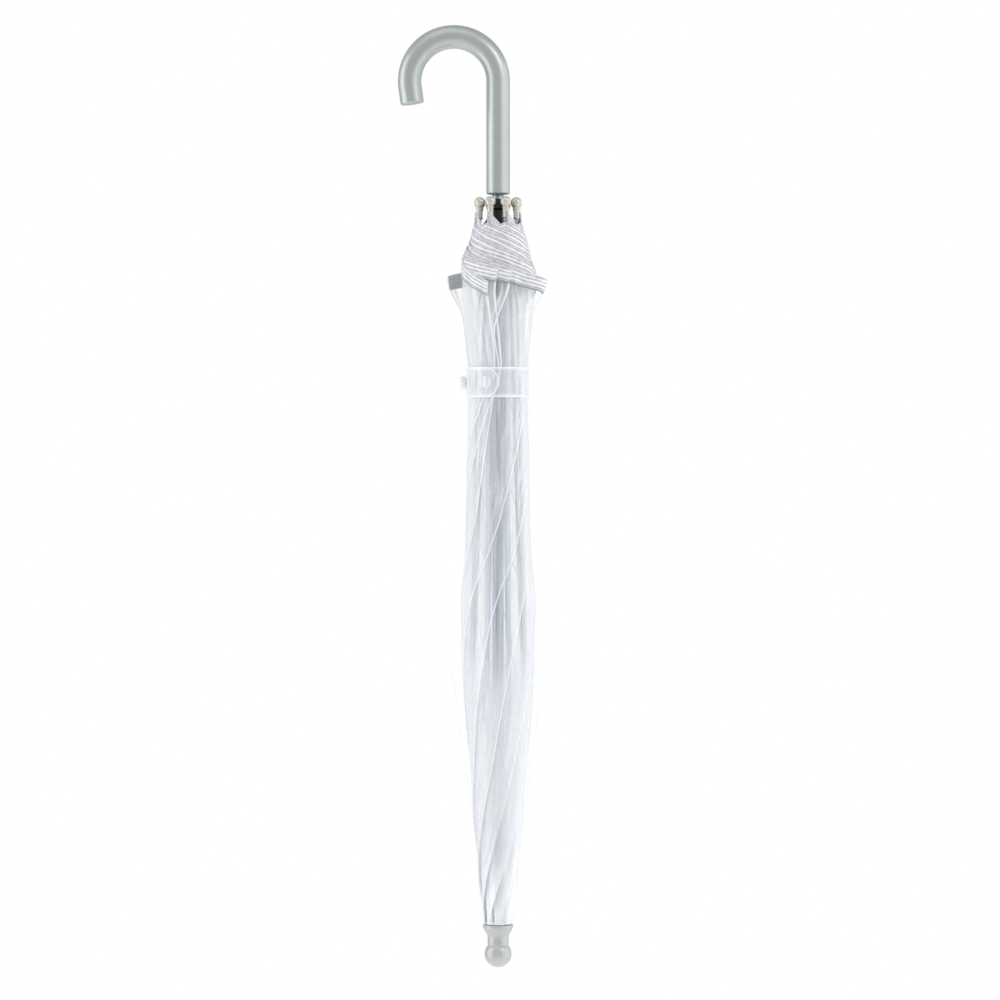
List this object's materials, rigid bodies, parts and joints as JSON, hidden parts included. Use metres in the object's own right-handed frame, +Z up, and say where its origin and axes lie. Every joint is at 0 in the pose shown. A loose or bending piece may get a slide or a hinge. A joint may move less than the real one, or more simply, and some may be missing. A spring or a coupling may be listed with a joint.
{
  "type": "stick umbrella",
  "caption": "Furled clear dome umbrella with a crook handle, ball-tipped ribs, runner, stretchers, pale hem and a closing strap; it opens on its runner.",
  "frame": {"origin": "centre of the small flat at the bottom of the ferrule's ball, on the shaft's axis", "axes": "+Z up the shaft to the crook handle, which opens towards -X; the umbrella hangs from its crook"},
  "size_m": [0.1009, 0.0568, 0.6811],
  "materials": {
    "handle_plastic": "satin silver lacquer",
    "ferrule_plastic": "moulded satin",
    "pearl_plastic": "pearl",
    "black_plastic": "moulded satin",
    "steel": "bright zinc",
    "clear_film": "clear soft film",
    "hem_trim": "silver white binding"
  },
  "bodies": {
    "stick": {"handle": "handle_plastic", "shaft": "steel", "ferrule_ball": "ferrule_plastic", "canopy_cap": "ferrule_plastic", "top_notch": "ferrule_plastic", "notch_wire": "steel"},
    "runner": {"runner": "black_plastic"},
    "bottom_catch": {"bottom_catch": "steel"},
    "top_catch": {"top_catch": "steel"},
    "rib_inner_1": {"rib_inner_1": "steel"},
    "rib_outer_1": {"rib_outer_1": "steel", "rib_tip_1": "pearl_plastic"},
    "stretcher_1": {"stretcher_1": "steel"},
    "gore_crown_1": {"gore_crown_1": "clear_film"},
    "gore_skirt_1": {"gore_skirt_1": "clear_film"},
    "rib_inner_2": {"rib_inner_2": "steel"},
    "rib_outer_2": {"rib_outer_2": "steel", "rib_tip_2": "pearl_plastic"},
    "stretcher_2": {"stretcher_2": "steel"},
    "gore_crown_2": {"gore_crown_2": "clear_film"},
    "gore_skirt_2": {"gore_skirt_2": "clear_film"},
    "rib_inner_3": {"rib_inner_3": "steel"},
    "rib_outer_3": {"rib_outer_3": "steel", "rib_tip_3": "pearl_plastic"},
    "stretcher_3": {"stretcher_3": "steel"},
    "gore_crown_3": {"gore_crown_3": "clear_film"},
    "gore_skirt_3": {"gore_skirt_3": "clear_film"},
    "rib_inner_4": {"rib_inner_4": "steel"},
    "rib_outer_4": {"rib_outer_4": "steel", "rib_tip_4": "pearl_plastic"},
    "stretcher_4": {"stretcher_4": "steel"},
    "gore_crown_4": {"gore_crown_4": "clear_film"},
    "gore_skirt_4": {"gore_skirt_4": "clear_film", "strap_band": "clear_film"},
    "rib_inner_5": {"rib_inner_5": "steel"},
    "rib_outer_5": {"rib_outer_5": "steel", "rib_tip_5": "pearl_plastic"},
    "stretcher_5": {"stretcher_5": "steel"},
    "gore_crown_5": {"gore_crown_5": "clear_film"},
    "gore_skirt_5": {"gore_skirt_5": "clear_film"},
    "rib_inner_6": {"rib_inner_6": "steel"},
    "rib_outer_6": {"rib_outer_6": "steel", "rib_tip_6": "pearl_plastic"},
    "stretcher_6": {"stretcher_6": "steel"},
    "gore_crown_6": {"gore_crown_6": "clear_film"},
    "gore_skirt_6": {"gore_skirt_6": "clear_film"},
    "rib_inner_7": {"rib_inner_7": "steel"},
    "rib_outer_7": {"rib_outer_7": "steel", "rib_tip_7": "pearl_plastic"},
    "stretcher_7": {"stretcher_7": "steel"},
    "gore_crown_7": {"gore_crown_7": "clear_film"},
    "gore_skirt_7": {"gore_skirt_7": "clear_film"},
    "rib_inner_8": {"rib_inner_8": "steel"},
    "rib_outer_8": {"rib_outer_8": "steel", "rib_tip_8": "pearl_plastic"},
    "stretcher_8": {"stretcher_8": "steel"},
    "gore_crown_8": {"gore_crown_8": "clear_film"},
    "gore_skirt_8": {"gore_skirt_8": "clear_film"},
    "strap_tab": {"strap_tab": "clear_film", "strap_snap": "pearl_plastic"}
  },
  "joints": [
    {"name": "runner_slide", "type": "slide", "parent": "stick", "child": "runner", "axis": [0, 0, -1], "range_m": [0, 0.19935], "deforming": ["gore_crown_1", "gore_crown_2", "gore_crown_3", "gore_crown_4", "gore_crown_5", "gore_crown_6", "gore_crown_7", "gore_crown_8", "gore_skirt_1", "gore_skirt_2", "gore_skirt_3", "gore_skirt_4", "gore_skirt_5", "gore_skirt_6", "gore_skirt_7", "gore_skirt_8", "strap_band", "strap_tab", "strap_snap", "bottom_catch", "top_catch"]},
    {"name": "bottom_catch_press", "type": "slide", "parent": "stick", "child": "bottom_catch", "axis": [0, -1, 0], "range_m": [0, 0.0019], "stiffness_N_per_m": 400},
    {"name": "top_catch_press", "type": "slide", "parent": "stick", "child": "top_catch", "axis": [0, -1, 0], "range_m": [0, 0.0019], "stiffness_N_per_m": 400},
    {"name": "rib_swing_1", "type": "hinge", "parent": "stick", "child": "rib_inner_1", "pos_m": [0.00637, 0.00264, 0.038], "axis": [-0.3827, 0.9239, 0], "range_deg": [0, 76.01]},
    {"name": "rib_flex_1", "type": "hinge", "parent": "rib_inner_1", "child": "rib_outer_1", "pos_m": [0.0194, 0.00804, 0.228], "axis": [0.3827, -0.9239, 0], "range_deg": [0, 40.84]},
    {"name": "stretcher_swing_1", "type": "hinge", "parent": "rib_inner_1", "child": "stretcher_1", "pos_m": [0.01746, 0.00723, 0.216], "axis": [0.3827, -0.9239, 0], "range_deg": [0, 107.98]},
    {"name": "crown_fan_1", "type": "hinge", "parent": "rib_inner_1", "child": "gore_crown_1", "pos_m": [0.00477, 0.00477, 0.03748], "axis": [-0.5733, -0.5733, -0.5853], "range_deg": [0, 54.52]},
    {"name": "skirt_fan_1", "type": "hinge", "parent": "rib_outer_1", "child": "gore_skirt_1", "pos_m": [0.0714, 0.0714, -0.05059], "axis": [-0.6786, -0.6786, -0.281], "range_deg": [0, 26.57]},
    {"name": "rib_swing_2", "type": "hinge", "parent": "stick", "child": "rib_inner_2", "pos_m": [0.00264, 0.00637, 0.038], "axis": [-0.9239, 0.3827, 0], "range_deg": [0, 76.01]},
    {"name": "rib_flex_2", "type": "hinge", "parent": "rib_inner_2", "child": "rib_outer_2", "pos_m": [0.00804, 0.0194, 0.228], "axis": [0.9239, -0.3827, 0], "range_deg": [0, 40.84]},
    {"name": "stretcher_swing_2", "type": "hinge", "parent": "rib_inner_2", "child": "stretcher_2", "pos_m": [0.00723, 0.01746, 0.216], "axis": [0.9239, -0.3827, 0], "range_deg": [0, 107.98]},
    {"name": "crown_fan_2", "type": "hinge", "parent": "rib_inner_2", "child": "gore_crown_2", "pos_m": [0, 0.00675, 0.03748], "axis": [0, -0.8108, -0.5853], "range_deg": [0, 54.52]},
    {"name": "skirt_fan_2", "type": "hinge", "parent": "rib_outer_2", "child": "gore_skirt_2", "pos_m": [0, 0.10097, -0.05059], "axis": [0, -0.9597, -0.281], "range_deg": [0, 26.57]},
    {"name": "rib_swing_3", "type": "hinge", "parent": "stick", "child": "rib_inner_3", "pos_m": [-0.00264, 0.00637, 0.038], "axis": [-0.9239, -0.3827, 0], "range_deg": [0, 76.01]},
    {"name": "rib_flex_3", "type": "hinge", "parent": "rib_inner_3", "child": "rib_outer_3", "pos_m": [-0.00804, 0.0194, 0.228], "axis": [0.9239, 0.3827, 0], "range_deg": [0, 40.84]},
    {"name": "stretcher_swing_3", "type": "hinge", "parent": "rib_inner_3", "child": "stretcher_3", "pos_m": [-0.00723, 0.01746, 0.216], "axis": [0.9239, 0.3827, 0], "range_deg": [0, 107.98]},
    {"name": "crown_fan_3", "type": "hinge", "parent": "rib_inner_3", "child": "gore_crown_3", "pos_m": [-0.00477, 0.00477, 0.03748], "axis": [0.5733, -0.5733, -0.5853], "range_deg": [0, 54.52]},
    {"name": "skirt_fan_3", "type": "hinge", "parent": "rib_outer_3", "child": "gore_skirt_3", "pos_m": [-0.0714, 0.0714, -0.05059], "axis": [0.6786, -0.6786, -0.281], "range_deg": [0, 26.57]},
    {"name": "rib_swing_4", "type": "hinge", "parent": "stick", "child": "rib_inner_4", "pos_m": [-0.00637, 0.00264, 0.038], "axis": [-0.3827, -0.9239, 0], "range_deg": [0, 76.01]},
    {"name": "rib_flex_4", "type": "hinge", "parent": "rib_inner_4", "child": "rib_outer_4", "pos_m": [-0.0194, 0.00804, 0.228], "axis": [0.3827, 0.9239, 0], "range_deg": [0, 40.84]},
    {"name": "stretcher_swing_4", "type": "hinge", "parent": "rib_inner_4", "child": "stretcher_4", "pos_m": [-0.01746, 0.00723, 0.216], "axis": [0.3827, 0.9239, 0], "range_deg": [0, 107.98]},
    {"name": "crown_fan_4", "type": "hinge", "parent": "rib_inner_4", "child": "gore_crown_4", "pos_m": [-0.00675, 0, 0.03748], "axis": [0.8108, 0, -0.5853], "range_deg": [0, 54.52]},
    {"name": "skirt_fan_4", "type": "hinge", "parent": "rib_outer_4", "child": "gore_skirt_4", "pos_m": [-0.10097, 0, -0.05059], "axis": [0.9597, 0, -0.281], "range_deg": [0, 26.57]},
    {"name": "rib_swing_5", "type": "hinge", "parent": "stick", "child": "rib_inner_5", "pos_m": [-0.00637, -0.00264, 0.038], "axis": [0.3827, -0.9239, 0], "range_deg": [0, 76.01]},
    {"name": "rib_flex_5", "type": "hinge", "parent": "rib_inner_5", "child": "rib_outer_5", "pos_m": [-0.0194, -0.00804, 0.228], "axis": [-0.3827, 0.9239, 0], "range_deg": [0, 40.84]},
    {"name": "stretcher_swing_5", "type": "hinge", "parent": "rib_inner_5", "child": "stretcher_5", "pos_m": [-0.01746, -0.00723, 0.216], "axis": [-0.3827, 0.9239, 0], "range_deg": [0, 107.98]},
    {"name": "crown_fan_5", "type": "hinge", "parent": "rib_inner_5", "child": "gore_crown_5", "pos_m": [-0.00477, -0.00477, 0.03748], "axis": [0.5733, 0.5733, -0.5853], "range_deg": [0, 54.52]},
    {"name": "skirt_fan_5", "type": "hinge", "parent": "rib_outer_5", "child": "gore_skirt_5", "pos_m": [-0.0714, -0.0714, -0.05059], "axis": [0.6786, 0.6786, -0.281], "range_deg": [0, 26.57]},
    {"name": "rib_swing_6", "type": "hinge", "parent": "stick", "child": "rib_inner_6", "pos_m": [-0.00264, -0.00637, 0.038], "axis": [0.9239, -0.3827, 0], "range_deg": [0, 76.01]},
    {"name": "rib_flex_6", "type": "hinge", "parent": "rib_inner_6", "child": "rib_outer_6", "pos_m": [-0.00804, -0.0194, 0.228], "axis": [-0.9239, 0.3827, 0], "range_deg": [0, 40.84]},
    {"name": "stretcher_swing_6", "type": "hinge", "parent": "rib_inner_6", "child": "stretcher_6", "pos_m": [-0.00723, -0.01746, 0.216], "axis": [-0.9239, 0.3827, 0], "range_deg": [0, 107.98]},
    {"name": "crown_fan_6", "type": "hinge", "parent": "rib_inner_6", "child": "gore_crown_6", "pos_m": [0, -0.00675, 0.03748], "axis": [0, 0.8108, -0.5853], "range_deg": [0, 54.52]},
    {"name": "skirt_fan_6", "type": "hinge", "parent": "rib_outer_6", "child": "gore_skirt_6", "pos_m": [0, -0.10097, -0.05059], "axis": [0, 0.9597, -0.281], "range_deg": [0, 26.57]},
    {"name": "rib_swing_7", "type": "hinge", "parent": "stick", "child": "rib_inner_7", "pos_m": [0.00264, -0.00637, 0.038], "axis": [0.9239, 0.3827, 0], "range_deg": [0, 76.01]},
    {"name": "rib_flex_7", "type": "hinge", "parent": "rib_inner_7", "child": "rib_outer_7", "pos_m": [0.00804, -0.0194, 0.228], "axis": [-0.9239, -0.3827, 0], "range_deg": [0, 40.84]},
    {"name": "stretcher_swing_7", "type": "hinge", "parent": "rib_inner_7", "child": "stretcher_7", "pos_m": [0.00723, -0.01746, 0.216], "axis": [-0.9239, -0.3827, 0], "range_deg": [0, 107.98]},
    {"name": "crown_fan_7", "type": "hinge", "parent": "rib_inner_7", "child": "gore_crown_7", "pos_m": [0.00477, -0.00477, 0.03748], "axis": [-0.5733, 0.5733, -0.5853], "range_deg": [0, 54.52]},
    {"name": "skirt_fan_7", "type": "hinge", "parent": "rib_outer_7", "child": "gore_skirt_7", "pos_m": [0.0714, -0.0714, -0.05059], "axis": [-0.6786, 0.6786, -0.281], "range_deg": [0, 26.57]},
    {"name": "rib_swing_8", "type": "hinge", "parent": "stick", "child": "rib_inner_8", "pos_m": [0.00637, -0.00264, 0.038], "axis": [0.3827, 0.9239, 0], "range_deg": [0, 76.01]},
    {"name": "rib_flex_8", "type": "hinge", "parent": "rib_inner_8", "child": "rib_outer_8", "pos_m": [0.0194, -0.00804, 0.228], "axis": [-0.3827, -0.9239, 0], "range_deg": [0, 40.84]},
    {"name": "stretcher_swing_8", "type": "hinge", "parent": "rib_inner_8", "child": "stretcher_8", "pos_m": [0.01746, -0.00723, 0.216], "axis": [-0.3827, -0.9239, 0], "range_deg": [0, 107.98]},
    {"name": "crown_fan_8", "type": "hinge", "parent": "rib_inner_8", "child": "gore_crown_8", "pos_m": [0.00675, 0, 0.03748], "axis": [-0.8108, 0, -0.5853], "range_deg": [0, 54.52]},
    {"name": "skirt_fan_8", "type": "hinge", "parent": "rib_outer_8", "child": "gore_skirt_8", "pos_m": [0.10097, 0, -0.05059], "axis": [-0.9597, 0, -0.281], "range_deg": [0, 26.57]},
    {"name": "strap_peel", "type": "hinge", "parent": "gore_skirt_4", "child": "strap_tab", "pos_m": [-0.02337, -0.00122, 0.4222], "axis": [0, 0, -1], "range_deg": [0, 60]}
  ],
  "couplings": [
    {"joint": "rib_swing_1", "follows": "runner_slide", "rad_per_m": 6.6539},
    {"joint": "rib_flex_1", "follows": "runner_slide", "rad_per_m": 3.5747},
    {"joint": "stretcher_swing_1", "follows": "runner_slide", "rad_per_m": 9.4525},
    {"joint": "crown_fan_1", "follows": "runner_slide", "rad_per_m": 4.7723},
    {"joint": "skirt_fan_1", "follows": "runner_slide", "rad_per_m": 2.3251},
    {"joint": "rib_swing_2", "follows": "runner_slide", "rad_per_m": 6.6539},
    {"joint": "rib_flex_2", "follows": "runner_slide", "rad_per_m": 3.5747},
    {"joint": "stretcher_swing_2", "follows": "runner_slide", "rad_per_m": 9.4525},
    {"joint": "crown_fan_2", "follows": "runner_slide", "rad_per_m": 4.7723},
    {"joint": "skirt_fan_2", "follows": "runner_slide", "rad_per_m": 2.3251},
    {"joint": "rib_swing_3", "follows": "runner_slide", "rad_per_m": 6.6539},
    {"joint": "rib_flex_3", "follows": "runner_slide", "rad_per_m": 3.5747},
    {"joint": "stretcher_swing_3", "follows": "runner_slide", "rad_per_m": 9.4525},
    {"joint": "crown_fan_3", "follows": "runner_slide", "rad_per_m": 4.7723},
    {"joint": "skirt_fan_3", "follows": "runner_slide", "rad_per_m": 2.3251},
    {"joint": "rib_swing_4", "follows": "runner_slide", "rad_per_m": 6.6539},
    {"joint": "rib_flex_4", "follows": "runner_slide", "rad_per_m": 3.5747},
    {"joint": "stretcher_swing_4", "follows": "runner_slide", "rad_per_m": 9.4525},
    {"joint": "crown_fan_4", "follows": "runner_slide", "rad_per_m": 4.7723},
    {"joint": "skirt_fan_4", "follows": "runner_slide", "rad_per_m": 2.3251},
    {"joint": "rib_swing_5", "follows": "runner_slide", "rad_per_m": 6.6539},
    {"joint": "rib_flex_5", "follows": "runner_slide", "rad_per_m": 3.5747},
    {"joint": "stretcher_swing_5", "follows": "runner_slide", "rad_per_m": 9.4525},
    {"joint": "crown_fan_5", "follows": "runner_slide", "rad_per_m": 4.7723},
    {"joint": "skirt_fan_5", "follows": "runner_slide", "rad_per_m": 2.3251},
    {"joint": "rib_swing_6", "follows": "runner_slide", "rad_per_m": 6.6539},
    {"joint": "rib_flex_6", "follows": "runner_slide", "rad_per_m": 3.5747},
    {"joint": "stretcher_swing_6", "follows": "runner_slide", "rad_per_m": 9.4525},
    {"joint": "crown_fan_6", "follows": "runner_slide", "rad_per_m": 4.7723},
    {"joint": "skirt_fan_6", "follows": "runner_slide", "rad_per_m": 2.3251},
    {"joint": "rib_swing_7", "follows": "runner_slide", "rad_per_m": 6.6539},
    {"joint": "rib_flex_7", "follows": "runner_slide", "rad_per_m": 3.5747},
    {"joint": "stretcher_swing_7", "follows": "runner_slide", "rad_per_m": 9.4525},
    {"joint": "crown_fan_7", "follows": "runner_slide", "rad_per_m": 4.7723},
    {"joint": "skirt_fan_7", "follows": "runner_slide", "rad_per_m": 2.3251},
    {"joint": "rib_swing_8", "follows": "runner_slide", "rad_per_m": 6.6539},
    {"joint": "rib_flex_8", "follows": "runner_slide", "rad_per_m": 3.5747},
    {"joint": "stretcher_swing_8", "follows": "runner_slide", "rad_per_m": 9.4525},
    {"joint": "crown_fan_8", "follows": "runner_slide", "rad_per_m": 4.7723},
    {"joint": "skirt_fan_8", "follows": "runner_slide", "rad_per_m": 2.3251}
  ]
}
